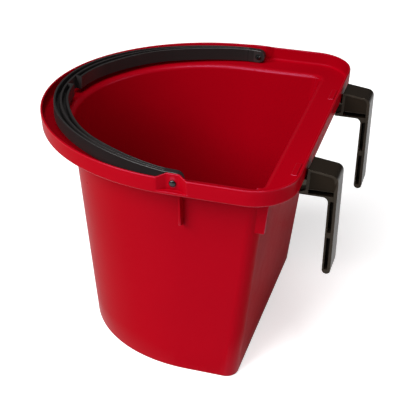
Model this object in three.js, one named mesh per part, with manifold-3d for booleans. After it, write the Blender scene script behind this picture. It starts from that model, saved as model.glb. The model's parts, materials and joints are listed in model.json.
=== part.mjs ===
// Stable feed bucket: a D-shaped moulded bucket with a flat back, a bail handle on two push-in pins,
// and two plug-in hooks that hang it over a door or rail. Millimetres, +Z up. The base stands on z = 0,
// x = 0 is the middle plane, the flat back with its hooks faces +Y and the round front faces -Y.
import * as THREE from 'three';
import { mergeVertices } from 'three/addons/utils/BufferGeometryUtils.js';
import Module from 'manifold-3d';

const wasm = await Module();
wasm.setup();

// ---- driving dimensions -------------------------------------------------------------------------
const HEIGHT = 264;          // base to the top of the lip
const GAP = 0.3;             // clearance between separate pieces
const RIM = { rx: 175, ry: 194.7, back: 120, corner: 46, shift: 0 };           // outer edge of the lip
const BODY_INSET = 32.3;     // ledge width: body top outline, in from the rim
const BASE = { rx: 130.1, ry: 144.2, back: 59, corner: 13.6, shift: 1.1 };     // outer edge of the base
const WALL = 2.5;
const FLOOR = 3;
const LIP_HEIGHT = 15.5;     // lip top down to the top of the ledge
const BASE_EDGE = 2;         // rounding of the base's outer edge
const FLOOR_FILLET = 6;
const LIP_EDGE = 0.9;        // rounding along both top edges of the lip
const LIP_HEM = 1.2;         // rounding of the lip's lower outer edge
const LIP_DRAFT = 1;         // the lip's outer face leans in by this much at its lower edge
const LIP_COVE = 3;          // hollow fillet from the lip down to the ledge
const LEDGE_ROLL = 5;        // rounding from the ledge into the bucket
const ROUND_MIDDLE = 0.3;    // the middle of a rounded edge lies this share of its radius from both faces
const LEAST_CORNER = 2;
const FRONT_STEPS = 44;      // segments of the half-elliptical front
const CORNER_STEPS = 6;      // segments of each back corner
const ROUND_STEPS = 24;      // segments of a full circle
const BITE = 1;              // how far an added feature runs into the solid it joins
const CUT = 1;               // how far a cutter runs out past the face it opens

const LEDGE_TOP = HEIGHT - LIP_HEIGHT;
const LEDGE_UNDER = LEDGE_TOP - WALL;

const PIVOT = { y: 4.1, z: HEIGHT - 7.1 };   // handle axis, along X
const POCKET = { depth: 5.8, flat: 6.5, half: 15.5, rise: 2.9, floor: LEDGE_TOP + 0.8 };
const EAR = { foot: HEIGHT - 0.6, spread: 4, shoulder: 1, thick: 20 };         // raised lip around each pin
const FIN = { thick: 2.4, reach: 10.3, bottom: HEIGHT - 66, undercut: 4, chamfer: 1 };
// Each back corner's fin stands inset from the body's side and reaches past its back wall.
const CORNER_FIN = { thick: 4, inset: 3.8, reach: 6.3, bottom: HEIGHT - 69.5 };
const PAD = { width: 26, deep: 6.4, rise: 1, y: 107.8 };    // raised pad over each hook's latch

const PIN = { shank: 2.5, head: 3.6, headHeight: 2.2, barb: 3.3, barbLength: 3, tip: 1.8, barbEdge: 0.8 };
const PIN_HOLE = PIN.shank + 0.25;
const DOME_STEPS = 6;

const HANDLE = { outer: 162.8, reach: 180.9, depth: 15.4, tilt: 1.9, waist: 5.4, boss: 5.5, edge: 0.8 };
const HANDLE_WIDTH = { arm: 7.4, shoulder: 2.8, grip: 6 };
const WAIST_PEAK = 0.325;    // largest value of the waist curve along the bow
const BOW_STEPS = 22;        // segments of each half of the bow
// Two channels run along the handle's top face, deep at the grip and shallow along the arms. ridge is the
// share of the width that each of the three ribs beside them takes.
const CHANNEL = {
  ridge: 0.14, leastRidge: 1.2, grip: 8, arm: 1.1, none: 0.2, draft: 0.3, start: 12.5, fade: [32, 62],
};
const NOTCH = { half: 10.6, wall: 2.4 };

const HOOK = { x: 92.5, width: 28.6, tongueWidth: 24, armTop: HEIGHT - 5.4, armUnder: HEIGHT - 34.1 };
// The collar stands off the lip: it leans in from its top to its foot, then slants in under the ledge.
const COLLAR = { top: RIM.back + 2, foot: RIM.back + 0.8, footZ: HEIGHT - 29, toeRise: 2.4, rib: 3.2 };
const HOOK_LEG = { inner: 142.6, outer: 152.8, tip: HEIGHT - 123, tipWidth: 8.6 };
const HOOK_ROUND = { top: 7, drop: 3.4, sweep: 80, fillet: 5.5 };
const HOOK_PANEL = { depth: 1.2, edge: 2.6, outer: 4.2, bottom: HEIGHT - 27, corner: [8, 6.4], side: 11 };
const HOOK_GROOVE = { depth: 9, floor: 1.7 };
const LEG_CHANNEL = { depth: 12, wall: 1.8, width: 4, low: [5, 43], high: [49, 84.5] };
const HOOK_MOUTH = 114.3;    // the arm narrows to its tongue here, under the ledge
const TONGUE_TOP = LEDGE_UNDER - GAP;
const TONGUE_UNDER = HOOK.armUnder + 2.8;
const SOCKET = { wall: 2.5, back: 3.5, stop: 0.2 };

// ---- materials ----------------------------------------------------------------------------------
const redPlastic = new THREE.MeshStandardMaterial({ color: 0xb3001b, roughness: 0.38, metalness: 0 });
const blackPlastic = new THREE.MeshStandardMaterial({ color: 0x1d1b1b, roughness: 0.5, metalness: 0 });
const blackNylon = new THREE.MeshStandardMaterial({ color: 0x141414, roughness: 0.2, metalness: 0 });

// ---- solids -------------------------------------------------------------------------------------
function solid(geometry) {
  const bare = geometry.index ? geometry.toNonIndexed() : geometry.clone();
  bare.deleteAttribute('normal');
  bare.deleteAttribute('uv');
  const merged = mergeVertices(bare, 1e-4);
  const vertProperties = new Float32Array(merged.attributes.position.array);
  const triVerts = new Uint32Array(merged.index.array);
  return new wasm.Manifold(new wasm.Mesh({ numProp: 3, vertProperties, triVerts }));
}

function toMesh(name, manifold, material) {
  const data = manifold.getMesh();
  const geometry = new THREE.BufferGeometry();
  geometry.setAttribute('position', new THREE.BufferAttribute(new Float32Array(data.vertProperties), 3));
  geometry.setIndex(new THREE.BufferAttribute(new Uint32Array(data.triVerts), 1));
  geometry.computeVertexNormals();
  const mesh = new THREE.Mesh(geometry, material);
  mesh.name = name;
  return mesh;
}

// Solid box between two corners.
function block(low, high) {
  const size = high.map((value, axis) => value - low[axis]);
  const middle = high.map((value, axis) => (value + low[axis]) / 2);
  return solid(new THREE.BoxGeometry(...size).translate(...middle));
}

// Outline in the (y, z) plane, extruded along X from x0 to x1.
function alongX(outline, x0, x1) {
  const shape = new THREE.Shape(outline.map(([y, z]) => new THREE.Vector2(y, z)));
  const geometry = new THREE.ExtrudeGeometry(shape, { depth: x1 - x0, bevelEnabled: false });
  const toYZ = new THREE.Matrix4().makeBasis(
    new THREE.Vector3(0, 1, 0), new THREE.Vector3(0, 0, 1), new THREE.Vector3(1, 0, 0));
  return solid(geometry.applyMatrix4(toYZ).translate(x0, 0, 0));
}

// Outline in the (x, y) plane, extruded up from z0 to z1.
function alongZ(outline, z0, z1) {
  const shape = new THREE.Shape(outline.map(([x, y]) => new THREE.Vector2(x, y)));
  const geometry = new THREE.ExtrudeGeometry(shape, { depth: z1 - z0, bevelEnabled: false });
  return solid(geometry.translate(0, 0, z0));
}

function rodAlongX(radius, x0, x1, y, z) {
  const geometry = new THREE.CylinderGeometry(radius, radius, x1 - x0, ROUND_STEPS);
  return solid(geometry.rotateZ(-Math.PI / 2).translate((x0 + x1) / 2, y, z));
}

function both(manifold) {
  return manifold.add(manifold.mirror([1, 0, 0]));
}

// Closed skin over a list of equal-length rings; capOutline gives each ring point in a flat plane.
function loft(rings, capOutline) {
  const count = rings[0].length;
  const positions = rings.flat().flatMap((point) => point.toArray());
  const index = [];
  for (let ring = 0; ring + 1 < rings.length; ring += 1) {
    for (let i = 0; i < count; i += 1) {
      const j = (i + 1) % count;
      const a = ring * count;
      const b = a + count;
      index.push(a + i, a + j, b + j, a + i, b + j, b + i);
    }
  }
  const last = (rings.length - 1) * count;
  for (const [a, b, c] of THREE.ShapeUtils.triangulateShape(capOutline, [])) {
    index.push(c, b, a);
    index.push(last + a, last + b, last + c);
  }
  const geometry = new THREE.BufferGeometry();
  geometry.setAttribute('position', new THREE.Float32BufferAttribute(positions, 3));
  geometry.setIndex(index);
  return solid(geometry);
}

function smoothstep(from, to, value) {
  return THREE.MathUtils.smoothstep(value, from, to);
}

// ---- D-shaped outlines --------------------------------------------------------------------------
function inset(outline, amount) {
  return {
    rx: outline.rx - amount,
    ry: outline.ry - amount,
    back: outline.back - amount,
    corner: Math.max(outline.corner - amount, LEAST_CORNER),
    shift: outline.shift,
  };
}

function between(low, high, share) {
  const mix = {};
  for (const key of Object.keys(low)) mix[key] = THREE.MathUtils.lerp(low[key], high[key], share);
  return mix;
}

// Anticlockwise seen from above, from the middle of the straight right side.
function dRing(outline, z) {
  const { rx, ry, back, corner, shift } = outline;
  const points = [];
  const cornerX = rx - corner;
  const cornerY = back - corner;
  points.push(new THREE.Vector3(rx, (shift + cornerY) / 2, z));
  for (const [quarter, centreX] of [[0, cornerX], [1, -cornerX]]) {
    for (let i = 0; i <= CORNER_STEPS; i += 1) {
      const angle = (quarter + i / CORNER_STEPS) * (Math.PI / 2);
      const x = centreX + corner * Math.cos(angle);
      points.push(new THREE.Vector3(x, cornerY + corner * Math.sin(angle), z));
    }
  }
  points.push(new THREE.Vector3(-rx, (shift + cornerY) / 2, z));
  for (let i = 0; i <= FRONT_STEPS; i += 1) {
    const angle = Math.PI + (i / FRONT_STEPS) * Math.PI;
    points.push(new THREE.Vector3(rx * Math.cos(angle), shift + ry * Math.sin(angle), z));
  }
  return points;
}

const BODY_TOP = inset(RIM, BODY_INSET);

// Outer body outline at height z, in by amount.
function bodyRing(z, amount) {
  return dRing(inset(between(BASE, BODY_TOP, z / LEDGE_TOP), amount), z);
}

function rimRing(amount, below) {
  return dRing(inset(RIM, amount), HEIGHT - below);
}

// ---- bucket body --------------------------------------------------------------------------------
function bucketShell() {
  const lipDepth = LIP_HEIGHT + WALL;
  const innerTop = BODY_INSET + WALL;
  const rings = [
    bodyRing(0, BASE_EDGE),
    bodyRing(BASE_EDGE * ROUND_MIDDLE, BASE_EDGE * ROUND_MIDDLE),
    bodyRing(BASE_EDGE, 0),
    bodyRing(LEDGE_UNDER, 0),
    rimRing(LIP_DRAFT + LIP_HEM, lipDepth),
    rimRing(LIP_DRAFT, lipDepth - LIP_HEM),
    rimRing(0, LIP_EDGE),
    rimRing(LIP_EDGE, 0),
    rimRing(WALL - LIP_EDGE, 0),
    rimRing(WALL, LIP_EDGE),
    rimRing(WALL, LIP_HEIGHT - LIP_COVE),
    rimRing(WALL + LIP_COVE * ROUND_MIDDLE, LIP_HEIGHT - LIP_COVE * ROUND_MIDDLE),
    rimRing(WALL + LIP_COVE, LIP_HEIGHT),
    rimRing(innerTop - LEDGE_ROLL, LIP_HEIGHT),
    rimRing(innerTop - LEDGE_ROLL * ROUND_MIDDLE, LIP_HEIGHT + LEDGE_ROLL * ROUND_MIDDLE),
    bodyRing(LEDGE_TOP - LEDGE_ROLL, WALL),
    bodyRing(FLOOR + FLOOR_FILLET, WALL),
    bodyRing(FLOOR + FLOOR_FILLET * ROUND_MIDDLE, WALL + FLOOR_FILLET * ROUND_MIDDLE),
    bodyRing(FLOOR, WALL + FLOOR_FILLET),
  ];
  return loft(rings, rings[0].map((point) => new THREE.Vector2(point.x, point.y)));
}

// Plan outline of the pivot pocket on the right side, offset inwards by amount.
function pocketPlan(amount, outside) {
  const wallX = RIM.rx - POCKET.depth - amount;
  const slope = amount * Math.tan(Math.PI / 8);
  return [
    [wallX, PIVOT.y - POCKET.flat - slope],
    [outside, PIVOT.y - POCKET.half - slope],
    [outside, PIVOT.y + POCKET.half + slope],
    [wallX, PIVOT.y + POCKET.flat + slope],
  ];
}

// The lip jogs inwards and rises around each handle pin.
function pivotEar() {
  const plan = alongZ(pocketPlan(WALL, RIM.rx - LIP_DRAFT), LEDGE_TOP - BITE, HEIGHT + POCKET.rise);
  const far = POCKET.half + EAR.spread;
  const near = POCKET.half - EAR.shoulder;
  const foot = LEDGE_TOP - 2 * BITE;
  const brow = alongX([
    [PIVOT.y - far, foot],
    [PIVOT.y + far, foot],
    [PIVOT.y + far, EAR.foot],
    [PIVOT.y + near, EAR.foot],
    [PIVOT.y + POCKET.flat, HEIGHT + POCKET.rise],
    [PIVOT.y - POCKET.flat, HEIGHT + POCKET.rise],
    [PIVOT.y - near, EAR.foot],
    [PIVOT.y - far, EAR.foot],
  ], RIM.rx - EAR.thick, RIM.rx + CUT);
  return plan.intersect(brow);
}

function pivotPocket() {
  const top = HEIGHT + POCKET.rise + CUT;
  const slanted = alongZ(pocketPlan(0, RIM.rx), POCKET.floor, top);
  const outside = block([RIM.rx - 0.1 * CUT, PIVOT.y - POCKET.half, POCKET.floor],
    [RIM.rx + CUT, PIVOT.y + POCKET.half, top]);
  return slanted.add(outside);
}

// Thin upright fin under the ledge below each pin.
function pinFin() {
  const wallX = (z) => THREE.MathUtils.lerp(BASE.rx, BODY_TOP.rx, z / LEDGE_TOP);
  const outline = [
    [wallX(FIN.bottom) - BITE, FIN.bottom - FIN.undercut],
    [wallX(FIN.bottom) + FIN.reach - FIN.chamfer, FIN.bottom],
    [wallX(LEDGE_UNDER) + FIN.reach, LEDGE_UNDER + BITE],
    [wallX(LEDGE_UNDER) - BITE, LEDGE_UNDER + BITE],
  ];
  const shape = new THREE.Shape(outline.map(([x, z]) => new THREE.Vector2(x, z)));
  const geometry = new THREE.ExtrudeGeometry(shape, { depth: FIN.thick, bevelEnabled: false });
  return solid(geometry.rotateX(Math.PI / 2).translate(0, PIVOT.y + FIN.thick / 2, 0));
}

// Upright fin at the back corner under the ledge. It leans with the body's walls.
function cornerFin() {
  const ring = (z) => {
    const wall = between(BASE, BODY_TOP, z / LEDGE_TOP);
    const face = wall.rx - CORNER_FIN.inset;
    const root = wall.back - wall.corner;
    const end = wall.back + CORNER_FIN.reach;
    const inner = face - CORNER_FIN.thick;
    const corners = [[inner, root], [face, root], [face, end], [inner, end]];
    return corners.map(([x, y]) => new THREE.Vector3(x, y, z));
  };
  const rings = [ring(CORNER_FIN.bottom), ring(LEDGE_UNDER + BITE)];
  return loft(rings, rings[0].map((point) => new THREE.Vector2(point.x, point.y)));
}

// Box socket under the back ledge that takes the right hook's tongue, open towards +Y.
function hookSocket() {
  const halfIn = HOOK.tongueWidth / 2 + GAP;
  const halfOut = halfIn + SOCKET.wall;
  const outer = block([HOOK.x - halfOut, BODY_TOP.back - SOCKET.back, HOOK.armUnder],
    [HOOK.x + halfOut, HOOK_MOUTH - GAP, LEDGE_UNDER + BITE]);
  const inner = block([HOOK.x - halfIn, BODY_TOP.back + SOCKET.stop, TONGUE_UNDER - GAP],
    [HOOK.x + halfIn, HOOK_MOUTH + CUT, LEDGE_UNDER]);
  return outer.subtract(inner);
}

function latchPad() {
  const halfX = PAD.width / 2;
  const halfY = PAD.deep / 2;
  return block([HOOK.x - halfX, PAD.y - halfY, LEDGE_TOP - BITE],
    [HOOK.x + halfX, PAD.y + halfY, LEDGE_TOP + PAD.rise]);
}

function bucketBody() {
  // Space inside the shell, so that ribs added on the outside never show through the inner wall.
  const inside = loft([bodyRing(FLOOR, WALL), bodyRing(LEDGE_TOP, WALL)],
    bodyRing(FLOOR, WALL).map((point) => new THREE.Vector2(point.x, point.y)));
  const additions = pinFin().add(cornerFin()).add(hookSocket()).subtract(inside);
  const lipInside = RIM.rx - POCKET.depth - WALL;
  const pinHole = rodAlongX(PIN_HOLE, lipInside - CUT, RIM.rx + CUT, PIVOT.y, PIVOT.z);
  return bucketShell()
    .add(both(additions))
    .add(both(latchPad()))
    .add(both(pivotEar()))
    .subtract(both(pivotPocket()))
    .subtract(both(pinHole));
}

// ---- handle -------------------------------------------------------------------------------------
// Drawn in its own frame: pivot axis along X through the origin, bow towards -Y, top face up.
// Station angles run from 0 at the front of the bow to END_ANGLE where the straight arm begins.
const END_ANGLE = THREE.MathUtils.degToRad(87);

function handleWidth(angle) {
  const degrees = THREE.MathUtils.radToDeg(angle);
  const shoulder = HANDLE_WIDTH.shoulder * (1 - smoothstep(57, 88, degrees));
  const grip = HANDLE_WIDTH.grip * (1 - smoothstep(25, 57, degrees));
  return HANDLE_WIDTH.arm + shoulder + grip;
}

function channelDepth(angle) {
  const share = smoothstep(...CHANNEL.fade, THREE.MathUtils.radToDeg(angle));
  return THREE.MathUtils.lerp(CHANNEL.grip, CHANNEL.arm, share);
}

// Outer edge of the bow on the right side, and its outward direction.
function bowPoint(angle) {
  const sin = Math.sin(angle);
  const cos = Math.cos(angle);
  const edge = new THREE.Vector2(HANDLE.outer * sin, -PIVOT.y - HANDLE.reach * cos);
  const outward = new THREE.Vector2(sin / HANDLE.outer, -cos / HANDLE.reach).normalize();
  const fade = Math.cos((angle / END_ANGLE) * (Math.PI / 2));
  const waist = (HANDLE.waist * sin ** 3 * fade) / WAIST_PEAK;
  return { edge: edge.addScaledVector(outward, -waist), outward };
}

// Section outline: u across the handle (0 at the outer edge, negative inwards), v up from mid-depth.
function handleSection({ width, outerDepth, innerDepth }) {
  const { edge } = HANDLE;
  const { draft } = CHANNEL;
  const ridge = Math.max(width * CHANNEL.ridge, CHANNEL.leastRidge);
  const channel = (width - 3 * ridge) / 2;
  const top = HANDLE.depth / 2;
  const middle = -ridge - channel;
  return [
    [-width + edge, -top], [-edge, -top], [0, -top + edge],
    [0, top - edge], [-edge / 2, top],
    [-ridge, top], [-ridge - draft, top - outerDepth],
    [middle + draft, top - outerDepth], [middle, top],
    [middle - ridge, top], [middle - ridge - draft, top - innerDepth],
    [-width + ridge + draft, top - innerDepth], [-width + ridge, top],
    [-width + edge / 2, top], [-width, top - edge],
    [-width, -top + edge],
  ];
}

// Sections of the right half of the bow, from just past the middle of the grip to the end of the bow.
// Across the notch at the grip the inner channel runs out, so the notch has an end wall on each side.
function bowStations() {
  const notchEnd = (NOTCH.half + NOTCH.wall) / HANDLE.outer;
  const wallStep = 0.002;
  const angles = [notchEnd / 2, notchEnd, notchEnd + wallStep];
  for (let i = 1; i <= BOW_STEPS; i += 1) {
    angles.push(THREE.MathUtils.lerp(notchEnd, END_ANGLE, i / BOW_STEPS));
  }
  return angles.map((angle) => {
    const depth = channelDepth(angle);
    const innerDepth = angle > notchEnd ? depth : CHANNEL.none;
    return { ...bowPoint(angle), width: handleWidth(angle), outerDepth: depth, innerDepth };
  });
}

// Sections of the right arm, from the end of the channels to the pivot.
function armStations() {
  const places = [
    [-CHANNEL.start, CHANNEL.arm],
    [-CHANNEL.start + CHANNEL.draft, CHANNEL.none],
    [0, CHANNEL.none],
  ];
  return places.map(([y, depth]) => ({
    edge: new THREE.Vector2(HANDLE.outer, y),
    outward: new THREE.Vector2(1, 0),
    width: HANDLE_WIDTH.arm,
    outerDepth: depth,
    innerDepth: depth,
  }));
}

function mirrored(station) {
  const flip = (v) => new THREE.Vector2(-v.x, v.y);
  return { ...station, edge: flip(station.edge), outward: flip(station.outward) };
}

function handleBow() {
  const right = [...bowStations(), ...armStations()];
  const front = {
    ...bowPoint(0), width: handleWidth(0), outerDepth: CHANNEL.grip, innerDepth: CHANNEL.none,
  };
  const stations = [...right.toReversed(), front, ...right.map(mirrored)];
  const rings = stations.map((station) => handleSection(station).map(([u, v]) => {
    const across = station.edge.clone().addScaledVector(station.outward, u);
    return new THREE.Vector3(across.x, across.y, v);
  }));
  const cap = handleSection(right.at(-1)).map(([u, v]) => new THREE.Vector2(u, v));
  return loft(rings, cap);
}

// Rounded end with a spacing boss towards the bucket's lip.
function handleEye() {
  const bossFace = RIM.rx - POCKET.depth - WALL - GAP;
  const eye = rodAlongX(HANDLE.depth / 2, HANDLE.outer - HANDLE_WIDTH.arm, HANDLE.outer, 0, 0);
  return eye.add(rodAlongX(HANDLE.boss, HANDLE.outer - BITE, bossFace, 0, 0));
}

// The notch takes away the inner channel at the middle of the grip, through the full depth.
function gripNotch() {
  const width = handleWidth(0);
  const middleRidge = (width + width * CHANNEL.ridge) / 2;
  const outside = -PIVOT.y - HANDLE.reach + middleRidge + CHANNEL.draft;
  return block([-NOTCH.half, outside, -HANDLE.depth], [NOTCH.half, outside + width, HANDLE.depth]);
}

function carryHandle() {
  const bore = rodAlongX(PIN_HOLE, HANDLE.outer - HANDLE_WIDTH.arm - CUT, RIM.rx, 0, 0);
  return handleBow().add(both(handleEye())).subtract(gripNotch()).subtract(both(bore));
}

// ---- pins ---------------------------------------------------------------------------------------
// Domed head outside the lip, shank through lip and handle, barbed end inside the handle's arm.
// The profile gives radius and distance along the pin; it is turned about Y, then laid along X.
function pivotPin() {
  const wallOut = RIM.rx - POCKET.depth;
  const eyeIn = HANDLE.outer - HANDLE_WIDTH.arm;
  const shoulder = wallOut + GAP;
  const barbFace = eyeIn - GAP;
  const tip = barbFace - PIN.barbLength;
  const profile = [
    [0, tip], [PIN.tip, tip], [PIN.barb, barbFace - PIN.barbEdge], [PIN.barb, barbFace],
    [PIN.shank, barbFace], [PIN.shank, shoulder], [PIN.head, shoulder],
  ];
  for (let i = 1; i <= DOME_STEPS; i += 1) {
    const angle = (i / DOME_STEPS) * (Math.PI / 2);
    const radius = i === DOME_STEPS ? 0 : PIN.head * Math.cos(angle);
    profile.push([radius, shoulder + PIN.headHeight * Math.sin(angle)]);
  }
  const points = profile.map(([radius, along]) => new THREE.Vector2(radius, along));
  const geometry = new THREE.LatheGeometry(points, ROUND_STEPS);
  return solid(geometry.rotateZ(-Math.PI / 2).translate(0, PIVOT.y, PIVOT.z));
}

// ---- hooks --------------------------------------------------------------------------------------
function arc(centreY, centreZ, radius, fromDegrees, toDegrees, steps) {
  const points = [];
  for (let i = 0; i <= steps; i += 1) {
    const angle = THREE.MathUtils.degToRad(THREE.MathUtils.lerp(fromDegrees, toDegrees, i / steps));
    points.push([centreY + radius * Math.cos(angle), centreZ + radius * Math.sin(angle)]);
  }
  return points;
}

// Side view of a hook: leaning collar, arm, leg with a rounded tip, rounded outer corner.
function hookProfile() {
  const { inner, outer, tip, tipWidth } = HOOK_LEG;
  const { top, drop, sweep, fillet } = HOOK_ROUND;
  const tipRadius = tipWidth / 2;
  return [
    [COLLAR.top, HOOK.armTop],
    [COLLAR.foot, COLLAR.footZ],
    [HOOK_MOUTH, HOOK.armUnder + COLLAR.toeRise],
    [HOOK_MOUTH, HOOK.armUnder],
    ...arc(inner - fillet, HOOK.armUnder - fillet, fillet, 90, 0, 4),
    ...arc(inner + tipRadius, tip + tipRadius, tipRadius, 180, 360, 8),
    ...arc(outer - top, HOOK.armTop - drop - top, top, 0, sweep, 6),
  ];
}

// Hollows in one side of the arm: a shallow panel, and a deeper groove below it.
function armHollows(side) {
  const foot = COLLAR.foot + COLLAR.rib;
  const outer = HOOK_LEG.outer - HOOK_PANEL.outer;
  const [cornerIn, cornerDown] = HOOK_PANEL.corner;
  const panel = alongX([
    [COLLAR.top + COLLAR.rib, HOOK.armTop - HOOK_PANEL.edge],
    [foot, HOOK_PANEL.bottom],
    [outer, HOOK_PANEL.bottom],
    [outer, HOOK.armTop - HOOK_PANEL.side],
    [HOOK_LEG.outer - cornerIn, HOOK.armTop - cornerDown],
  ], side - HOOK_PANEL.depth, side + CUT);
  const groove = block([side - HOOK_GROOVE.depth, foot, HOOK.armUnder + HOOK_GROOVE.floor],
    [side + CUT, outer, HOOK_PANEL.bottom + CUT / 10]);
  return panel.add(groove);
}

// Two channels in one side of the leg, with a cross rib left between them.
function legHollows(side) {
  const { depth, wall, width, low, high } = LEG_CHANNEL;
  const near = HOOK_LEG.inner + wall;
  const channel = ([from, to]) => block([side - depth, near, HOOK_LEG.tip + from],
    [side + CUT, near + width, HOOK_LEG.tip + to]);
  return channel(low).add(channel(high));
}

// Right hook, plugged into its socket.
function doorHook() {
  const half = HOOK.width / 2;
  const tongueHalf = HOOK.tongueWidth / 2;
  const frame = alongX(hookProfile().reverse(), HOOK.x - half, HOOK.x + half);
  const rightHollows = armHollows(HOOK.x + half).add(legHollows(HOOK.x + half));
  const leftHollows = rightHollows.mirror([1, 0, 0]).translate([2 * HOOK.x, 0, 0]);
  const tongue = block([HOOK.x - tongueHalf, BODY_TOP.back + SOCKET.stop + GAP, TONGUE_UNDER],
    [HOOK.x + tongueHalf, COLLAR.top - GAP, TONGUE_TOP]);
  return frame.subtract(rightHollows).subtract(leftHollows).add(tongue);
}

// ---- assembly -----------------------------------------------------------------------------------
const bucket = new THREE.Group();
bucket.add(toMesh('bucket_body', bucketBody(), redPlastic));

const handle = toMesh('carry_handle', carryHandle(), blackPlastic);
handle.position.set(0, PIVOT.y, PIVOT.z);
handle.rotation.x = -THREE.MathUtils.degToRad(HANDLE.tilt);
bucket.add(handle);

for (const [side, flip] of [['right', false], ['left', true]]) {
  const place = (piece) => (flip ? piece.mirror([1, 0, 0]) : piece);
  bucket.add(toMesh(`pivot_pin_${side}`, place(pivotPin()), blackNylon));
  bucket.add(toMesh(`door_hook_${side}`, place(doorHook()), blackPlastic));
}

export default bucket;
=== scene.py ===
"""Feed bucket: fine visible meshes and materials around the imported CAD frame.

Shapes are worked out in millimetres in the frame's own axes (+Z up, flat back and hooks towards +Y) and
scaled to metres when a mesh is made. Places come from the frame, and section sizes are the moulding's own.
"""
import json
import math

import bmesh
import bpy
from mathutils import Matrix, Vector


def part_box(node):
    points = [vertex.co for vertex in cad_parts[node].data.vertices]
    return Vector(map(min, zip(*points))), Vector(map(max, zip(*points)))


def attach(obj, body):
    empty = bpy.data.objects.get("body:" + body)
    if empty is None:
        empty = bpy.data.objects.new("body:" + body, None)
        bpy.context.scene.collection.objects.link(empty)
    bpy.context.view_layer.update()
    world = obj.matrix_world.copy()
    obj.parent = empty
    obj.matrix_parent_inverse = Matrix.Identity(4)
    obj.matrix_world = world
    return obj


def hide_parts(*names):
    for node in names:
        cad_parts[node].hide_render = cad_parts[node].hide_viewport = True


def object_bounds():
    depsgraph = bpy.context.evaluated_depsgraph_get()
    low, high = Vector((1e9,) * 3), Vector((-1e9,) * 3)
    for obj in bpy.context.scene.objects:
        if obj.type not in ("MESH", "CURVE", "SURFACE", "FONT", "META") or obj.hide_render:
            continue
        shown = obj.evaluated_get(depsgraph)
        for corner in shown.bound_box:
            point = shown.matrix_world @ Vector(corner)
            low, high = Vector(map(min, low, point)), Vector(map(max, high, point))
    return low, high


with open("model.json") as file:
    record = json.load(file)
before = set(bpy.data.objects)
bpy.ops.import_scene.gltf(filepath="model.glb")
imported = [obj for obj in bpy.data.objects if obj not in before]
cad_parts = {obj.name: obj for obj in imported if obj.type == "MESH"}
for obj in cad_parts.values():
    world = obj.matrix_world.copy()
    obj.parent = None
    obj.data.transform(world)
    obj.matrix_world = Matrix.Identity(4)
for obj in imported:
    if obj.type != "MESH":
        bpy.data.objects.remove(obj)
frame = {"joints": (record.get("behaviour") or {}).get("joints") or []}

cad_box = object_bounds()
MM = 0.001

# ---- places from the frame, in millimetres ----------------------------------------------------------
BODY_LOW, BODY_HIGH = (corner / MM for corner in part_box("bucket_body"))
PIN_LOW, PIN_HIGH = (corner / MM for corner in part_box("pivot_pin_right"))
HOOK_LOW, HOOK_HIGH = (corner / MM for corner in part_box("door_hook_right"))
PIVOT = Vector(frame["joints"][0]["pos_m"]) / MM

# At each pin the lip steps in by depth above a small floor, and rises. flat and half are half the lengths
# of the pocket's inner face and of the whole pocket. soft rounds its corners, as a share of its slanted
# walls.
POCKET = {"depth": 5.8, "flat": 6.5, "half": 15.5, "rise": 2.9, "floor": 0.8, "soft": 0.13}
HALF_WIDTH = BODY_HIGH.x
FRONT = -BODY_LOW.y
BACK = BODY_HIGH.y
TOP = BODY_HIGH.z - POCKET["rise"]        # top of the plain lip

# ---- section of the moulding ------------------------------------------------------------------------
WALL = 2.5
FLOOR = 3.0
LEDGE = 32.3                 # ledge width, from the body's outer wall to the lip's outer face
LIP_HEIGHT = 15.5
LIP_DRAFT = 1.0              # the lip's outer face leans in by this much at its lower edge
LEDGE_TOP = TOP - LIP_HEIGHT
LEDGE_UNDER = LEDGE_TOP - WALL
POCKET_FLOOR = LEDGE_TOP + POCKET["floor"]
RIM_CORNER = 46.0
LEAST_CORNER = 1.0           # no ring of the section turns its back corners more sharply
BASE = {"rx": 130.1, "ry": 144.2, "back": 59.0, "corner": 13.6, "shift": 1.1}
UPPER = {
    "rx": HALF_WIDTH - LEDGE, "ry": FRONT - LEDGE, "back": BACK - LEDGE,
    "corner": RIM_CORNER - LEDGE, "shift": 0.0,
}
SECTION_ROUND = {
    "base": 2, "ledge_root": 2.2, "ledge_edge": 1.3, "step_edge": 0.5, "step_root": 0.6,
    "lip": 1, "lip_root": 3, "mouth": 5, "floor": 6,
}
# Extra rows of points keep the shading of the rounded edges narrow. They stand on the outside and the inside
# of the walls, below the top of the lip, and on the ledge beside its inner roll.
OUTSIDE_ROWS = (70, 140, 188, 200)
INSIDE_ROWS = (200, 140, 70)
LIP_ROW = 2.4
LEDGE_ROW = 4.4
# Two edges of the lip's outer face turn into the pocket's floor. On the plain rim they stand half above and
# below its height, at the shares low and high of the draft.
STEP = {"half": 0.8, "low": 0.2, "high": 0.3}
# The section's two ends on the base, measured from the body's outer wall.
UNDERSIDE_END = -9
FLOOR_END = -16

BITE = 1.2                   # how far a fused part reaches into the shell
FIN = {"thick": 2.4, "reach": 10.3, "bottom": TOP - 66.0, "undercut": 4.0, "toe": 1.0, "round": 0.5}
CORNER_FIN = {
    "thick": 4.0, "inset": 3.8, "reach": 6.3, "bottom": TOP - 69.5, "arc": 0.62, "slant": 2.2, "round": 0.8,
}
PAD = {
    "width": 26.0, "deep": 6.4, "rise": 0.8, "y": BACK - 12.2, "bury": 1.5, "border": 1.6, "round": 0.7,
}
SOCKET = {"overlap": 1.0, "heel": 0.2, "past_mouth": 5.0, "round": 0.9}
GAP = 0.3                    # clearance between parts that fit into each other
CUT_PAST = 1.0               # how far a hollow's cutter stands out of the hook
SHANK = 2.5                  # radius of the pins' shanks
BORE = {"radius": SHANK + 0.25, "reach": 12.0, "past": 2.0}

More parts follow.
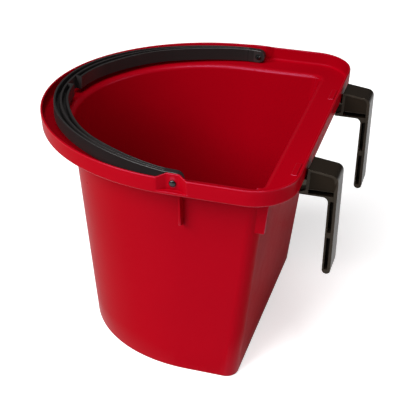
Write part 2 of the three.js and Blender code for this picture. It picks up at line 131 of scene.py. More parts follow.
# ---- sizes of the hooks -----------------------------------------------------------------------------
HOOK_MID = (HOOK_LOW.x + HOOK_HIGH.x) / 2
HOOK_MOUTH = 114.3           # the hook's face at the mouth of its socket, along Y
HOOK = {
    "arm_top": HOOK_HIGH.z, "arm_under": TOP - 34.1, "inner": 143.7, "tip_inner": 141.9, "tip_width": 8.9,
    "outer": HOOK_HIGH.y, "tip": HOOK_LOW.z, "tongue": 12.0, "slope": 4.2, "round": 0.5,
}
HOOK_ROUND = {"top": 0.8, "foot": 1.5, "toe": 0.5, "inside": 5.5, "tip": 4.4, "shoulder": 7.5}
# The collar stands off the lip: it leans in from its top to its foot, then slants in under the ledge.
COLLAR = {"top": BACK + 2, "foot": BACK + 0.8, "foot_z": TOP - 29, "toe_rise": 2.4, "rib": 3.2, "lean": 2.8}
HOOK_RIM = 3.9               # what the panel and the groove leave of the arm at the leg's outer face
PANEL = {"depth": 0.9, "top": 2.6, "slope": 6.0, "foot_z": TOP - 27, "round": 0.5}
PANEL_ROUND = {"top": 1.0, "shoulder": 4.5}
GROOVE = {"depth": 9.0, "rib": 0.6, "overlap": 0.5, "floor": 1.6, "top_round": 0.4, "round": 0.8}
LEG_CHANNEL = {
    "depth": 12.0, "wall": 1.9, "low_far": 5.6, "high_far": 5.8, "round": 0.9,
    "low": (5, 43), "high": (49, 85),
}

# ---- sizes of the handle and pins -------------------------------------------------------------------
# Drawn with the pivot axis along X through the origin and the bow towards -Y, then turned to its rest tilt.
HANDLE = {"outer": 162.8, "reach": 180.9, "depth": 15.4, "tilt": 1.9, "waist": 5.4}
HANDLE_WIDTH = {"arm": 7.4, "shoulder": 2.8, "grip": 6.0}
HANDLE_ROUND = {"under": 1.0, "rim": 0.55, "channel": 0.35, "shallow": 0.4}
# Degrees from the middle of the bow between which the widths and the channels' depth fade.
FADE = {"shoulder": (57, 88), "grip": (25, 57), "channel": (32, 62)}
WAIST_PEAK = 0.325           # peak of the waist's curve, which scales the waist to its full depth
BOW_END = math.radians(87)
BOW_STEPS = 110
ARM_TIP = math.radians(86)
ARM_TIP_STEPS = 12
ARM_ROW = 6.0
RIDGE = {"share": 0.14, "least": 1.2}
CHANNEL = {"grip": 8.0, "arm": 1.1, "none": 0.05, "start": 12.5, "run_out": 0.3, "fall": 0.8, "draft": 0.25}
# The finger notch in the middle of the grip. A wall parts it from the inner channel, which opens beside it
# within two rises; rise and clear are in radians along the bow.
NOTCH = {"half": 10.6, "wall": 2.4, "inset": 0.3, "rise": 0.002, "share": 0.8, "clear": 0.01}
BOSS = {"radius": 5.5, "root": 1.5, "chamfer": 0.5}
PIN = {"barb": 3.3, "land": 0.8, "tip": 1.8, "middle": 0.3, "rim": 0.5, "under": 0.2, "edge": 0.25}
PIN_ROUND = {"tip": 0.3, "barb": 0.15, "head": 0.1}
DOME_END = math.radians(87)
DOME_STEPS = 10

# ---- mesh settings ----------------------------------------------------------------------------------
SAME_PLACE = 1e-7            # metres
STRAIGHT = math.radians(89.9)             # half the angle of a corner that counts as straight
TURNED_SIDES = 48
BEVEL_SEGMENTS = 3
CREASE = {"bucket": 38, "handle": 40, "pin": 50, "hook": 35}

# ---- looks ------------------------------------------------------------------------------------------
# Noise scales are per metre.
CLOUD = {"scale": 9, "detail": 3, "amount": 0.06}
PATCH = {"scale": 60, "detail": 4, "amount": 0.05}
GRAIN = {"scale": 900, "detail": 2, "height": 0.0002}
PLASTIC_IOR = 1.49
SLANT_SPAN = (0.2, 0.45)     # facing values between which the gloss goes from square on to slanting
EDGE_SPAN = (0.508, 0.55)    # pointiness values between which a face turns into a rounded edge
STAGE = {"half": 6000, "drop": 0.2, "shade": 0.86, "roughness": 0.9, "lift": 0.58}
SKY = {"light": 0.06, "lift": 0.9}
LIGHT_AIM = (0, 0, 0.15)
CAMERA = {
    "azimuth": 17.23, "elevation": 30.29, "distance": 1.2183, "aim_lift": 0.0044,
    "lens": 95.74, "sensor": 36,
}


def lerp(a, b, share):
    return a + (b - a) * share


def smoothstep(low, high, value):
    t = min(max((value - low) / (high - low), 0), 1)
    return t * t * (3 - 2 * t)


# ---- mesh helpers -----------------------------------------------------------------------------------
def make_object(name, points, faces):
    """A mesh object from points in millimetres."""
    mesh = bpy.data.meshes.new(name)
    mesh.from_pydata([tuple(Vector(p) * MM) for p in points], [], faces)
    obj = bpy.data.objects.new(name, mesh)
    bpy.context.scene.collection.objects.link(obj)
    tidy = bmesh.new()
    tidy.from_mesh(mesh)
    bmesh.ops.remove_doubles(tidy, verts=tidy.verts, dist=SAME_PLACE)
    bmesh.ops.recalc_face_normals(tidy, faces=tidy.faces)
    tidy.to_mesh(mesh)
    tidy.free()
    return obj


def loft(name, rings):
    """A closed skin over equal-length rings of points, capped at both ends."""
    count = len(rings[0])
    points = [p for ring in rings for p in ring]
    faces = [tuple(range(count))[::-1]]
    for ring in range(len(rings) - 1):
        a = ring * count
        b = a + count
        for i in range(count):
            j = (i + 1) % count
            faces.append((a + i, a + j, b + j, b + i))
    last = (len(rings) - 1) * count
    faces.append(tuple(last + i for i in range(count)))
    return make_object(name, points, faces)


def rounded(corners, steps=4, closed=False):
    """Points of an outline with rounded corners (u, v, radius). A straight corner spreads its points."""
    points = []
    for i, (u, v, radius) in enumerate(corners):
        here = Vector((u, v))
        if radius == 0 or not (closed or 0 < i < len(corners) - 1):
            points.append(here)
            continue
        back = (Vector(corners[i - 1][:2]) - here).normalized()
        ahead = (Vector(corners[(i + 1) % len(corners)][:2]) - here).normalized()
        half = back.angle(ahead) / 2
        if half > STRAIGHT:
            points += [here + back * radius * (1 - 2 * k / steps) for k in range(steps + 1)]
            continue
        centre = here + (back + ahead).normalized() * radius / math.sin(half)
        start = here + back * radius / math.tan(half) - centre
        end = here + ahead * radius / math.tan(half) - centre
        turns = (start.slerp(end, k / steps).normalized() for k in range(steps + 1))
        points += [centre + turn * radius for turn in turns]
    return points


def prism(name, outline, place, depth):
    """An outline extruded by depth; place(u, v, w) puts a point in the frame."""
    return loft(name, [[place(u, v, w) for u, v in outline] for w in (0, depth)])


def box(name, low, high):
    outline = [(low[0], low[1]), (high[0], low[1]), (high[0], high[1]), (low[0], high[1])]
    return prism(name, outline, lambda u, v, w: Vector((u, v, low[2] + w)), high[2] - low[2])


def turned(name, profile, y, z):
    """A solid of revolution along X; profile holds (radius, x)."""
    def ring(radius, x):
        angles = (2 * math.pi * k / TURNED_SIDES for k in range(TURNED_SIDES))
        return [Vector((x, y + radius * math.cos(a), z + radius * math.sin(a))) for a in angles]
    return loft(name, [ring(radius, x) for radius, x in profile])


def bake(obj, modifier):
    """Applies the object's modifier, so that the mesh is final."""
    evaluated = obj.evaluated_get(bpy.context.evaluated_depsgraph_get())
    mesh = bpy.data.meshes.new_from_object(evaluated)
    obj.modifiers.remove(modifier)
    old = obj.data
    obj.data = mesh
    bpy.data.meshes.remove(old)


def combine(obj, tool, operation):
    """Joins the tool to the object or cuts it out, and removes the tool."""
    modifier = obj.modifiers.new("combine", "BOOLEAN")
    modifier.solver = "EXACT"
    modifier.operation = operation
    modifier.object = tool
    bake(obj, modifier)
    bpy.data.objects.remove(tool)
    return obj


def soften(obj, width, angle):
    """Rounds the edges sharper than angle (degrees)."""
    modifier = obj.modifiers.new("soften", "BEVEL")
    modifier.width = width * MM
    modifier.segments = BEVEL_SEGMENTS
    modifier.limit_method = "ANGLE"
    modifier.angle_limit = math.radians(angle)
    modifier.harden_normals = False
    bake(obj, modifier)
    return obj


def mirrored(obj, name, middle=0):
    """A copy of the object on the other side of the plane x = middle."""
    points = [(2 * middle - v.co.x / MM, v.co.y / MM, v.co.z / MM) for v in obj.data.vertices]
    faces = [tuple(reversed(p.vertices)) for p in obj.data.polygons]
    return make_object(name, points, faces)


def smooth(obj, crease):
    """Smooth shading, with edges sharper than crease (degrees) kept crisp and flat faces kept flat."""
    obj.data.polygons.foreach_set("use_smooth", [True] * len(obj.data.polygons))
    obj.data.set_sharp_from_angle(angle=math.radians(crease))
    modifier = obj.modifiers.new("weighted normals", "WEIGHTED_NORMAL")
    modifier.keep_sharp = True
    return obj


def finish_piece(obj, material, body, node):
    """Gives a piece its material and its body, and hides the CAD node that it stands for."""
    obj.data.materials.clear()
    obj.data.materials.append(material)
    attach(obj, body)
    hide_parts(node)


# ---- bucket moulding --------------------------------------------------------------------------------
def wall_section(pocket):
    """Corners (out, height, radius) of the section, from the underside round the lip to the floor inside.

    out is measured from the body's outer wall. pocket is 0 on the plain rim and 1 at a handle pin, where
    the lip steps in above a small floor and rises."""
    face = LEDGE - POCKET["depth"] * pocket
    inner_face = face - WALL
    top = TOP + POCKET["rise"] * pocket
    ledge_edge = LEDGE - LIP_DRAFT
    lip_foot = face - LIP_DRAFT * (1 - pocket)
    half_step = STEP["half"] * (1 - pocket)
    return [
        (UNDERSIDE_END, 0, 0), (0, 0, SECTION_ROUND["base"]),
        *((0, height, 0) for height in OUTSIDE_ROWS),
        (0, LEDGE_UNDER, SECTION_ROUND["ledge_root"]),
        (ledge_edge, LEDGE_UNDER, SECTION_ROUND["ledge_edge"]),
        (lerp(ledge_edge, LEDGE, STEP["low"]), POCKET_FLOOR - half_step, SECTION_ROUND["step_edge"]),
        (lerp(lip_foot, face, STEP["high"]), POCKET_FLOOR + half_step, SECTION_ROUND["step_root"]),
        (face, top - LIP_ROW, 0), (face, top, SECTION_ROUND["lip"]),
        (inner_face, top, SECTION_ROUND["lip"]), (inner_face, top - LIP_ROW, 0),
        (inner_face, LEDGE_TOP, SECTION_ROUND["lip_root"]),
        (LEDGE_ROW, LEDGE_TOP, 0), (-WALL, LEDGE_TOP, SECTION_ROUND["mouth"]),
        *((-WALL, height, 0) for height in INSIDE_ROWS),
        (-WALL, FLOOR, SECTION_ROUND["floor"]), (FLOOR_END, FLOOR, 0),
    ]


def half_columns():
    """Places along the right half of the outline, from the middle of the front to the middle of the back.

    They stand close together from just before the pin's pocket to just past it."""
    fine = 0.5
    fine_start = 14.0
    fine_end = 23.0
    steps = {"front": 64, "side": 6, "corner": 16, "back": 6}
    straight = UPPER["back"] - UPPER["corner"]
    start = math.asin(fine_start / FRONT)
    columns = [("front", lerp(-math.pi / 2, -start, k / steps["front"])) for k in range(steps["front"])]
    for k in range(round(fine_start / fine)):
        columns.append(("front", -math.asin((fine_start - k * fine) / FRONT)))
    for k in range(round(fine_end / fine)):
        columns.append(("side", k * fine / straight))
    for k in range(steps["side"]):
        columns.append(("side", lerp(fine_end / straight, 1, k / steps["side"])))
    columns += [("corner", k / steps["corner"] * math.pi / 2) for k in range(steps["corner"])]
    columns += [("back", k / steps["back"]) for k in range(steps["back"] + 1)]
    return columns


def outline_point(column, out, height):
    """Point of the D-shaped outline, out from the body's outer wall at that height."""
    kind, value = column
    share = min(height / LEDGE_TOP, 1)
    share = lerp(share, 1, min(max(out / LEDGE, 0), 1))
    size = {key: lerp(BASE[key], UPPER[key], share) for key in BASE}
    rx = size["rx"] + out
    ry = size["ry"] + out
    back = size["back"] + out
    corner = max(size["corner"] + out, LEAST_CORNER)
    if kind == "front":
        return Vector((rx * math.cos(value), size["shift"] + ry * math.sin(value), height))
    if kind == "side":
        return Vector((rx, lerp(size["shift"], back - corner, value), height))
    if kind == "corner":
        x = rx - corner + corner * math.cos(value)
        return Vector((x, back - corner + corner * math.sin(value), height))
    return Vector(((rx - corner) * (1 - value), back, height))


def wall_x(height):
    """Outer wall of the body at its widest, at that height."""
    return outline_point(("side", 0), 0, height).x


def wall_y(height):
    """Outer face of the body's back wall at that height."""
    return outline_point(("back", 0), 0, height).y


def pocket_share(y):
    """0 on the plain rim, 1 at the pin, with a slanted wall between and softened corners."""
    t = (POCKET["half"] - abs(y - PIVOT.y)) / (POCKET["half"] - POCKET["flat"])
    soft = POCKET["soft"]
    if t <= -soft:
        return 0.0
    if t < soft:
        return (t + soft) ** 2 / (4 * soft)
    if t < 1 - soft:
        return t
    if t < 1 + soft:
        return 1 - (1 + soft - t) ** 2 / (4 * soft)
    return 1.0


def bucket_shell():
    """Base, walls, ledge and lip: one closed ring of points for each point of the section."""
    columns = half_columns()
    rings = []
    for plain, pressed in zip(rounded(wall_section(0)), rounded(wall_section(1))):
        right = []
        for column in columns:
            share = pocket_share(outline_point(column, *plain).y)
            right.append(outline_point(column, *plain.lerp(pressed, share)))
        left = [Vector((-p.x, p.y, p.z)) for p in right[-2:0:-1]]
        rings.append(right + left)
    return loft("bucket_moulding", rings)


def pin_fin():
    """Thin upright fin under the ledge below the pin."""
    bottom = FIN["bottom"]
    toe = FIN["toe"]
    outline = rounded([
        (wall_x(bottom) - BITE, bottom - FIN["undercut"], 0),
        (wall_x(bottom) + FIN["reach"] - toe, bottom, toe),
        (wall_x(LEDGE_UNDER) + FIN["reach"], LEDGE_UNDER + BITE, 0),
        (wall_x(LEDGE_UNDER) - BITE, LEDGE_UNDER + BITE, 0),
    ], closed=True)
    start = PIVOT.y - FIN["thick"] / 2
    fin = prism("fin", outline, lambda x, z, w: Vector((x, start + w, z)), FIN["thick"])
    return soften(fin, width=FIN["round"], angle=50)


def corner_fin():
    """Upright fin at the back corner under the ledge. It leans with the body's walls."""
    def ring(height):
        back = wall_y(height)
        face = wall_x(height) - CORNER_FIN["inset"]
        inner = face - CORNER_FIN["thick"]
        root = back - WALL / 2
        end = back + CORNER_FIN["reach"]
        arc = back - CORNER_FIN["arc"] * UPPER["corner"]
        slanted = inner + CORNER_FIN["slant"]
        corners = [(inner, root), (slanted, arc), (face, arc), (face, end), (inner, end)]
        return [Vector((x, y, height)) for x, y in corners]
    fin = loft("corner_fin", [ring(CORNER_FIN["bottom"]), ring(LEDGE_UNDER + BITE)])
    return soften(fin, width=CORNER_FIN["round"], angle=60)


def hook_socket():
    """Box under the back ledge that takes the hook's tongue, open towards the back."""
    half_in = HOOK["tongue"] + GAP
    half_out = half_in + WALL
    under = HOOK["arm_under"]
    top = LEDGE_UNDER + SOCKET["overlap"]
    outline = [
        (wall_y(under) - BITE, under), (HOOK_MOUTH - GAP, under),
        (HOOK_MOUTH - GAP, top), (UPPER["back"] - BITE, top),
    ]
    outer = prism("socket", outline, lambda y, z, w: Vector((HOOK_MID - half_out + w, y, z)), 2 * half_out)
    soften(outer, width=SOCKET["round"], angle=50)
    inner = box("hollow", (HOOK_MID - half_in, UPPER["back"] + SOCKET["heel"], under + WALL),
                (HOOK_MID + half_in, HOOK_MOUTH + SOCKET["past_mouth"], LEDGE_UNDER))
    return combine(outer, inner, "DIFFERENCE")


def latch_pad():
    """Low raised pad on the ledge, over the hook's latch."""
    def ring(height, inset):
        x = PAD["width"] / 2 - inset
        y = PAD["deep"] / 2 - inset
        corners = ((-x, -y), (x, -y), (x, y), (-x, y))
        return [Vector((HOOK_MID + u, PAD["y"] + v, height)) for u, v in corners]
    top = LEDGE_TOP + PAD["rise"]
    pad = loft("pad", [ring(LEDGE_TOP - PAD["bury"], 0), ring(top, 0), ring(top, PAD["border"])])
    return soften(pad, width=PAD["round"], angle=50)


def bucket_moulding():
    """The whole moulding: the shell with its fins, sockets and pads, and the holes for the pins."""
    shell = bucket_shell()
    for part in (pin_fin(), corner_fin(), hook_socket(), latch_pad()):
        other = mirrored(part, part.name + "_left")
        combine(shell, part, "UNION")
        combine(shell, other, "UNION")
    for side in (1, -1):
        ends = sorted((side * (HALF_WIDTH - BORE["reach"]), side * (HALF_WIDTH + BORE["past"])))
        hole = turned("hole", [(BORE["radius"], x) for x in ends], PIVOT.y, PIVOT.z)
        combine(shell, hole, "DIFFERENCE")
    return smooth(shell, CREASE["bucket"])


# ---- handle -----------------------------------------------------------------------------------------
def handle_width(degrees):
    shoulder = HANDLE_WIDTH["shoulder"] * (1 - smoothstep(*FADE["shoulder"], degrees))
    grip = HANDLE_WIDTH["grip"] * (1 - smoothstep(*FADE["grip"], degrees))
    return HANDLE_WIDTH["arm"] + shoulder + grip


def channel_depth(degrees):
    """The channels along the top are deep at the grip and run out shallow along the arms."""
    return lerp(CHANNEL["grip"], CHANNEL["arm"], smoothstep(*FADE["channel"], degrees))


def bow_point(angle):
    """Outer edge of the bow on the right side, and its outward direction."""
    sin = math.sin(angle)
    cos = math.cos(angle)
    edge = Vector((HANDLE["outer"] * sin, -PIVOT.y - HANDLE["reach"] * cos))
    outward = Vector((sin / HANDLE["outer"], -cos / HANDLE["reach"])).normalized()
    fade = math.cos(angle / BOW_END * math.pi / 2)
    return edge - outward * HANDLE["waist"] * sin ** 3 * fade / WAIST_PEAK, outward


def ridge_width(width):
    return max(width * RIDGE["share"], RIDGE["least"])


def handle_section(width, outer_depth, inner_depth, height):
    """Section outline: u across from the outer edge inwards (negative), v up from mid-depth.

    height scales v, which rounds the arm's end off."""
    ridge = ridge_width(width)
    middle = -ridge - (width - 3 * ridge) / 2
    top = HANDLE["depth"] / 2

    def channel(start, end, depth):
        soft = min(HANDLE_ROUND["channel"], depth * HANDLE_ROUND["shallow"])
        return [
            (start, top, soft), (start - CHANNEL["draft"], top - depth, soft),
            (end + CHANNEL["draft"], top - depth, soft), (end, top, soft),
        ]
    corners = [
        (-width, -top, HANDLE_ROUND["under"]), (0, -top, HANDLE_ROUND["under"]),
        (0, top, HANDLE_ROUND["rim"]),
        *channel(-ridge, middle, outer_depth), *channel(middle - ridge, -width + ridge, inner_depth),
        (-width, top, HANDLE_ROUND["rim"]),
    ]
    return [Vector((u, v * height)) for u, v in rounded(corners, steps=3, closed=True)]


def bow_stations():
    """(edge, outward, width, outer depth, inner depth, height share) along the right half of the bow.

    The inner channel is closed behind the finger notch and opens beside it in a short rise."""
    notch_end = (NOTCH["half"] + NOTCH["wall"]) / HANDLE["outer"]
    closing = [
        (0, 0), (notch_end / 2, 0), (notch_end, 0),
        (notch_end + NOTCH["rise"], NOTCH["share"]), (notch_end + 2 * NOTCH["rise"], 1),
    ]
    opened = [(lerp(notch_end + NOTCH["clear"], BOW_END, k / BOW_STEPS), 1) for k in range(BOW_STEPS + 1)]
    stations = []
    for angle, share in closing + opened:
        degrees = math.degrees(angle)
        depth = channel_depth(degrees)
        inner = lerp(CHANNEL["none"], depth, share)
        stations.append((*bow_point(angle), handle_width(degrees), depth, inner, 1.0))
    return stations


def arm_stations():
    """The straight arm: the channels run out before the pivot, and the end is rounded."""
    start = -CHANNEL["start"]
    shallow = CHANNEL["arm"]
    none = CHANNEL["none"]
    places = [
        (start, shallow, 1), (start + CHANNEL["run_out"], shallow * CHANNEL["fall"], 1),
        (start + 2 * CHANNEL["run_out"], none, 1), (-ARM_ROW, none, 1), (0, none, 1),
    ]
    for k in range(1, ARM_TIP_STEPS + 1):
        turn = ARM_TIP * k / ARM_TIP_STEPS
        places.append((HANDLE["depth"] / 2 * math.sin(turn), none, math.cos(turn)))
    outward = Vector((1, 0))
    width = HANDLE_WIDTH["arm"]
    return [(Vector((HANDLE["outer"], y)), outward, width, depth, depth, tall) for y, depth, tall in places]


def handle_bow():
    """The bow and both arms, lofted from one arm's end to the other's."""
    right = bow_stations() + arm_stations()

    def flipped(station):
        edge, outward, *rest = station
        return (Vector((-edge.x, edge.y)), Vector((-outward.x, outward.y)), *rest)
    stations = [*reversed(right), *(flipped(s) for s in right[1:])]
    rings = []
    for edge, outward, width, outer_depth, inner_depth, tall in stations:
        section = handle_section(width, outer_depth, inner_depth, tall)
        rings.append([Vector((*(edge + outward * u), v)) for u, v in section])
    return loft("handle_moulding", rings)


def turn_to_rest(handle):
    """Tilts the handle about the pivot axis and moves it to the pivot."""
    tilt = math.radians(HANDLE["tilt"])
    for vertex in handle.data.vertices:
        x, y, z = vertex.co
        vertex.co = (x, y * math.cos(tilt) + z * math.sin(tilt), z * math.cos(tilt) - y * math.sin(tilt))
        vertex.co += PIVOT * MM


def handle_moulding():
    """The whole handle: the bow with its two bosses, the finger notch and the bores for the pins."""
    handle = handle_bow()
    boss_face = HALF_WIDTH - POCKET["depth"] - WALL - GAP
    for side in (1, -1):
        profile = [
            (BOSS["radius"], HANDLE["outer"] - BOSS["root"]), (BOSS["radius"], boss_face - BOSS["chamfer"]),
            (BOSS["radius"] - BOSS["chamfer"], boss_face),
        ]
        boss = turned("boss", [(r, side * x) for r, x in profile], 0, 0)
        combine(handle, boss, "UNION")
    width = handle_width(0)
    outside = -PIVOT.y - HANDLE["reach"] + (width + ridge_width(width)) / 2 + NOTCH["inset"]
    notch = box("notch", (-NOTCH["half"], outside, -HANDLE["depth"]),
                (NOTCH["half"], outside + width, HANDLE["depth"]))
    combine(handle, notch, "DIFFERENCE")
    for side in (1, -1):
        ends = (side * (HANDLE["outer"] - BORE["reach"]), side * HALF_WIDTH)
        bore = turned("bore", [(BORE["radius"], x) for x in ends], 0, 0)
        combine(handle, bore, "DIFFERENCE")
    turn_to_rest(handle)
    return smooth(handle, CREASE["handle"])


# ---- pins -------------------------------------------------------------------------------------------
def pivot_pin():
    """Domed head outside the lip, shank, and a barbed end inside the handle's arm."""
    head = (PIN_HIGH.z - PIN_LOW.z) / 2
    shoulder = HALF_WIDTH - POCKET["depth"] + GAP
    barb_face = HANDLE["outer"] - HANDLE_WIDTH["arm"] - GAP
    profile = rounded([
        (PIN["middle"], PIN_LOW.x, 0), (PIN["tip"], PIN_LOW.x, PIN_ROUND["tip"]),
        (PIN["barb"], barb_face - PIN["land"], PIN_ROUND["tip"]),
        (PIN["barb"], barb_face, PIN_ROUND["barb"]),
        (SHANK, barb_face, 0), (SHANK, shoulder, 0),
        (head - PIN["under"], shoulder, 0), (head, shoulder + PIN["edge"], PIN_ROUND["head"]),
    ])
    rim = shoulder + PIN["rim"]
    rise = PIN_HIGH.x - shoulder - PIN["rim"]
    for k in range(DOME_STEPS + 1):
        turn = DOME_END * k / DOME_STEPS
        profile.append(Vector((head * math.cos(turn), rim + rise * math.sin(turn))))
    return smooth(turned("pin_right", profile, PIVOT.y, PIVOT.z), CREASE["pin"])


# ---- hooks ------------------------------------------------------------------------------------------
def hook_outline():
    """Side view (y, z): leaning collar, arm with a sloping top, leaning leg with a rounded tip."""
    tip_outer = HOOK["tip_inner"] + HOOK["tip_width"]
    return rounded([
        (COLLAR["top"], HOOK["arm_top"], HOOK_ROUND["top"]),
        (COLLAR["foot"], COLLAR["foot_z"], HOOK_ROUND["foot"]),
        (HOOK_MOUTH, HOOK["arm_under"] + COLLAR["toe_rise"], HOOK_ROUND["toe"]),
        (HOOK_MOUTH, HOOK["arm_under"], HOOK_ROUND["toe"]),
        (HOOK["inner"], HOOK["arm_under"], HOOK_ROUND["inside"]),
        (HOOK["tip_inner"], HOOK["tip"], HOOK_ROUND["tip"]),
        (tip_outer, HOOK["tip"], HOOK_ROUND["tip"]),
        (HOOK["outer"], HOOK["arm_top"] - HOOK["slope"], HOOK_ROUND["shoulder"]),
    ], steps=8, closed=True)


def leg_inner(z):
    """The leg's inner face leans in towards its tip."""
    return lerp(HOOK["tip_inner"], HOOK["inner"], (z - HOOK["tip"]) / (HOOK["arm_under"] - HOOK["tip"]))


def side_cut(name, outline, depth):
    """A hollow in the right-hand side of the hook, from an outline in (y, z)."""
    start = HOOK_HIGH.x - depth
    return prism(name, outline, lambda y, z, w: Vector((start + w, y, z)), depth + CUT_PAST)


def arm_panel():
    """Shallow panel in the upper part of the arm's side."""
    edge = HOOK["outer"] - HOOK_RIM
    top = HOOK["arm_top"]
    outline = rounded([
        (COLLAR["top"] + COLLAR["lean"], top - PANEL["top"], PANEL_ROUND["top"]),
        (COLLAR["foot"] + COLLAR["rib"], PANEL["foot_z"], PANEL["round"]),
        (edge, PANEL["foot_z"], PANEL["round"]),
        (edge, top - PANEL["slope"], PANEL_ROUND["shoulder"]),
    ], steps=5, closed=True)
    return side_cut("panel", outline, PANEL["depth"])


def arm_groove():
    """Deep groove along the foot of the arm's side, below the panel."""
    start = COLLAR["foot"] + COLLAR["rib"] - GROOVE["rib"]
    edge = HOOK["outer"] - HOOK_RIM
    top = PANEL["foot_z"] - GROOVE["overlap"]
    floor = HOOK["arm_under"] + GROOVE["floor"]
    outline = rounded([
        (start, top, GROOVE["top_round"]), (start, floor, GROOVE["round"]),
        (edge, floor, GROOVE["round"]), (edge, top, GROOVE["top_round"]),
    ], steps=4, closed=True)
    return side_cut("groove", outline, GROOVE["depth"])


def leg_channel(name):
    """One of the two channels in the leg's side, between heights above the tip."""
    low, high = (HOOK["tip"] + height for height in LEG_CHANNEL[name])
    radius = LEG_CHANNEL["round"]
    outline = rounded([
        (leg_inner(low) + LEG_CHANNEL["wall"], low, radius),
        (leg_inner(low) + LEG_CHANNEL["low_far"], low, radius),
        (leg_inner(high) + LEG_CHANNEL["high_far"], high, radius),
        (leg_inner(high) + LEG_CHANNEL["wall"], high, radius),
    ], steps=4, closed=True)
    return side_cut(name, outline, LEG_CHANNEL["depth"])


def door_hook():
    """The right-hand hook, hollowed from both sides, with its tongue."""
    width = HOOK_HIGH.x - HOOK_LOW.x
    hook = prism("hook_right", hook_outline(), lambda y, z, w: Vector((HOOK_LOW.x + w, y, z)), width)
    for hollow in (arm_panel(), arm_groove(), leg_channel("low"), leg_channel("high")):
        combine(hook, mirrored(hollow, "opposite", HOOK_MID), "DIFFERENCE")
        combine(hook, hollow, "DIFFERENCE")
    soften(hook, width=HOOK["round"], angle=40)
    tongue = box("tongue", (HOOK_MID - HOOK["tongue"], HOOK_LOW.y, HOOK["arm_under"] + (WALL + GAP)),
                 (HOOK_MID + HOOK["tongue"], COLLAR["top"] - GAP, LEDGE_UNDER - GAP))
    soften(tongue, width=HOOK["round"], angle=50)
    combine(hook, tongue, "UNION")
    return smooth(hook, CREASE["hook"])


# ---- materials --------------------------------------------------------------------------------------
def noise(tree, scale, detail):
    """A noise in the piece's own coordinates."""
    place = tree.nodes.new("ShaderNodeTexCoord")
    node = tree.nodes.new("ShaderNodeTexNoise")
    node.inputs["Scale"].default_value = scale
    node.inputs["Detail"].default_value = detail
    tree.links.new(place.outputs["Object"], node.inputs["Vector"])
    return node.outputs["Fac"]


def spread(tree, value, low, high, span=(0, 1), ease="LINEAR"):
    """Maps a value in span onto low to high."""
    node = tree.nodes.new("ShaderNodeMapRange")
    node.interpolation_type = ease
    for field, number in zip(("From Min", "From Max", "To Min", "To Max"), (*span, low, high)):
        node.inputs[field].default_value = number
    tree.links.new(value, node.inputs["Value"])
    return node.outputs["Result"]


def cloudy_colour(tree, colour):
    """The colour, drifting a little darker and lighter over the piece."""
    mix = tree.nodes.new("ShaderNodeMix")
    mix.data_type = "RGBA"
    # A Mix node's colours are its inputs 6 and 7 and its output 2.
    factor, dark, light = mix.inputs[0], mix.inputs[6], mix.inputs[7]
    dark.default_value = (*[c * (1 - CLOUD["amount"]) for c in colour], 1)
    light.default_value = (*[c * (1 + CLOUD["amount"]) for c in colour], 1)
    tree.links.new(noise(tree, CLOUD["scale"], CLOUD["detail"]), factor)
    return mix.outputs[2]


def grained_normal(tree, strength):
    """The fine grain of the mould's surface."""
    bump = tree.nodes.new("ShaderNodeBump")
    bump.inputs["Strength"].default_value = strength
    bump.inputs["Distance"].default_value = GRAIN["height"]
    tree.links.new(noise(tree, GRAIN["scale"], GRAIN["detail"]), bump.inputs["Height"])
    return bump.outputs["Normal"]


def polish(tree, gloss, slant_gloss, rim_gloss):
    """Reflection level: gloss seen square on, slant_gloss at a slant, and at least rim_gloss on edges."""
    slant = tree.nodes.new("ShaderNodeLayerWeight")
    shape = tree.nodes.new("ShaderNodeNewGeometry")
    level = tree.nodes.new("ShaderNodeMath")
    level.operation = "MAXIMUM"
    face = spread(tree, slant.outputs["Facing"], gloss, slant_gloss, SLANT_SPAN, "SMOOTHSTEP")
    edge = spread(tree, shape.outputs["Pointiness"], 0, rim_gloss, EDGE_SPAN, "SMOOTHSTEP")
    tree.links.new(face, level.inputs[0])
    tree.links.new(edge, level.inputs[1])
    return level.outputs["Value"]


def plastic(name, colour, roughness, grain, gloss, slant_gloss, rim_gloss=0.0, tint=(1, 1, 1)):
    """Moulded plastic: a fine grain, faint cloudiness in the colour, patchy roughness and polished edges.

    tint colours what the surface reflects when it is seen square on."""
    material = bpy.data.materials.new(name)
    material.use_nodes = True
    tree = material.node_tree
    shader = tree.nodes["Principled BSDF"].inputs
    patch = noise(tree, PATCH["scale"], PATCH["detail"])
    rough = spread(tree, patch, roughness - PATCH["amount"], roughness + PATCH["amount"])
    tree.links.new(cloudy_colour(tree, colour), shader["Base Color"])
    tree.links.new(rough, shader["Roughness"])
    tree.links.new(grained_normal(tree, grain), shader["Normal"])
    tree.links.new(polish(tree, gloss, slant_gloss, rim_gloss), shader["Specular IOR Level"])
    shader["Specular Tint"].default_value = (*tint, 1)
    shader["IOR"].default_value = PLASTIC_IOR
    return material


# ---- studio -----------------------------------------------------------------------------------------
def area_light(name, place, size, power):
    """A soft rectangular light, size metres wide and high, aimed at the bucket."""
    data = bpy.data.lights.new(name, "AREA")
    data.shape = "RECTANGLE"
    data.size, data.size_y = size
    data.energy = power
    light = bpy.data.objects.new(name, data)
    light.location = place
    light.rotation_euler = (Vector(LIGHT_AIM) - Vector(place)).to_track_quat("-Z", "Y").to_euler()
    bpy.context.scene.collection.objects.link(light)


def lift(tree, strength):
    """An emission that only the camera sees: it keeps the backdrop pale without lighting the object."""
    path = tree.nodes.new("ShaderNodeLightPath")
    glow = tree.nodes.new("ShaderNodeMath")
    glow.operation = "MULTIPLY"
    glow.inputs[1].default_value = strength
    tree.links.new(path.outputs["Is Camera Ray"], glow.inputs[0])
    return glow.outputs["Value"]


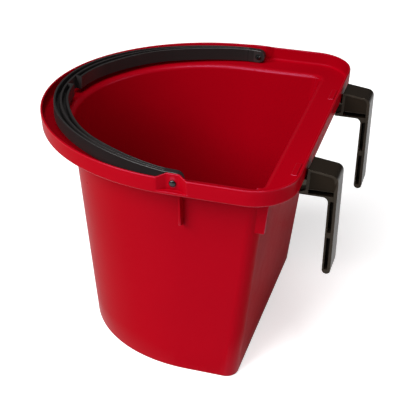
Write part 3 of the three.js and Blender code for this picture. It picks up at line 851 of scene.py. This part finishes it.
def pale_floor():
    """A wide floor just below the bucket's base."""
    half = STAGE["half"]
    sides = ((-half, -half), (half, -half), (half, half), (-half, half))
    corners = [(x, y, -STAGE["drop"]) for x, y in sides]
    floor = make_object("floor", corners, [(0, 1, 2, 3)])
    material = bpy.data.materials.new("pale_floor")
    material.use_nodes = True
    tree = material.node_tree
    shader = tree.nodes["Principled BSDF"].inputs
    shader["Base Color"].default_value = (*[STAGE["shade"]] * 3, 1)
    shader["Roughness"].default_value = STAGE["roughness"]
    shader["Emission Color"].default_value = (1, 1, 1, 1)
    tree.links.new(lift(tree, STAGE["lift"]), shader["Emission Strength"])
    floor.data.materials.append(material)


def surroundings():
    """An even white sky, which the camera sees brighter than it lights."""
    world = bpy.data.worlds.new("surroundings")
    world.use_nodes = True
    tree = world.node_tree
    level = tree.nodes.new("ShaderNodeMath")
    level.operation = "ADD"
    level.inputs[1].default_value = SKY["light"]
    tree.links.new(lift(tree, SKY["lift"]), level.inputs[0])
    background = tree.nodes["Background"].inputs
    background["Color"].default_value = (1, 1, 1, 1)
    tree.links.new(level.outputs["Value"], background["Strength"])
    bpy.context.scene.world = world


def studio():
    bpy.context.scene.view_settings.view_transform = "Standard"
    pale_floor()
    surroundings()
    area_light("key", place=(1.45, -0.95, 1.5), size=(1.7, 1.0), power=65)
    area_light("top", place=(0.8, 0.2, 2.2), size=(1.0, 1.0), power=28)
    area_light("right", place=(0, 2.1, 0.7), size=(1.0, 1.0), power=10)


def camera():
    """Looks down at the bucket from its right side, a little from behind."""
    low, high = cad_box
    aim = (low + high) / 2 + Vector((0, 0, CAMERA["aim_lift"]))
    azimuth = math.radians(CAMERA["azimuth"])
    elevation = math.radians(CAMERA["elevation"])
    away = Vector((math.cos(elevation) * math.cos(azimuth), math.cos(elevation) * math.sin(azimuth),
                   math.sin(elevation)))
    data = bpy.data.cameras.new("camera")
    data.lens = CAMERA["lens"]
    data.sensor_width = CAMERA["sensor"]
    cam = bpy.data.objects.new("camera", data)
    cam.location = aim + away * CAMERA["distance"]
    cam.rotation_euler = (-away).to_track_quat("-Z", "Y").to_euler()
    bpy.context.scene.collection.objects.link(cam)
    bpy.context.scene.camera = cam


# ---- assembly ---------------------------------------------------------------------------------------
red = plastic("red_polypropylene", (0.285, 0.0002, 0.005), roughness=0.3, grain=0.25,
              gloss=0.03, slant_gloss=0.012, rim_gloss=0.5, tint=(1, 0.5, 0.95))
black = plastic("black_handle_nylon", (0.012, 0.010, 0.010), roughness=0.42, grain=0.3,
                gloss=0.1, slant_gloss=0.6, rim_gloss=1.0)
hook_black = plastic("black_hook_nylon", (0.011, 0.0075, 0.005), roughness=0.24, grain=0.3,
                     gloss=0.05, slant_gloss=0.5, rim_gloss=0.45, tint=(1, 0.88, 0.72))
pin_black = plastic("polished_pin_nylon", (0.006, 0.006, 0.006), roughness=0.15, grain=0.05,
                    gloss=0.4, slant_gloss=0.5)

finish_piece(bucket_moulding(), red, "bucket", "bucket_body")
finish_piece(handle_moulding(), black, "handle", "carry_handle")
pin = pivot_pin()
pin_other = smooth(mirrored(pin, "pin_left"), CREASE["pin"])
finish_piece(pin, pin_black, "bucket", "pivot_pin_right")
finish_piece(pin_other, pin_black, "bucket", "pivot_pin_left")
hook = door_hook()
hook_other = smooth(mirrored(hook, "hook_left"), CREASE["hook"])
finish_piece(hook, hook_black, "bucket", "door_hook_right")
finish_piece(hook_other, hook_black, "bucket", "door_hook_left")

studio()
camera()
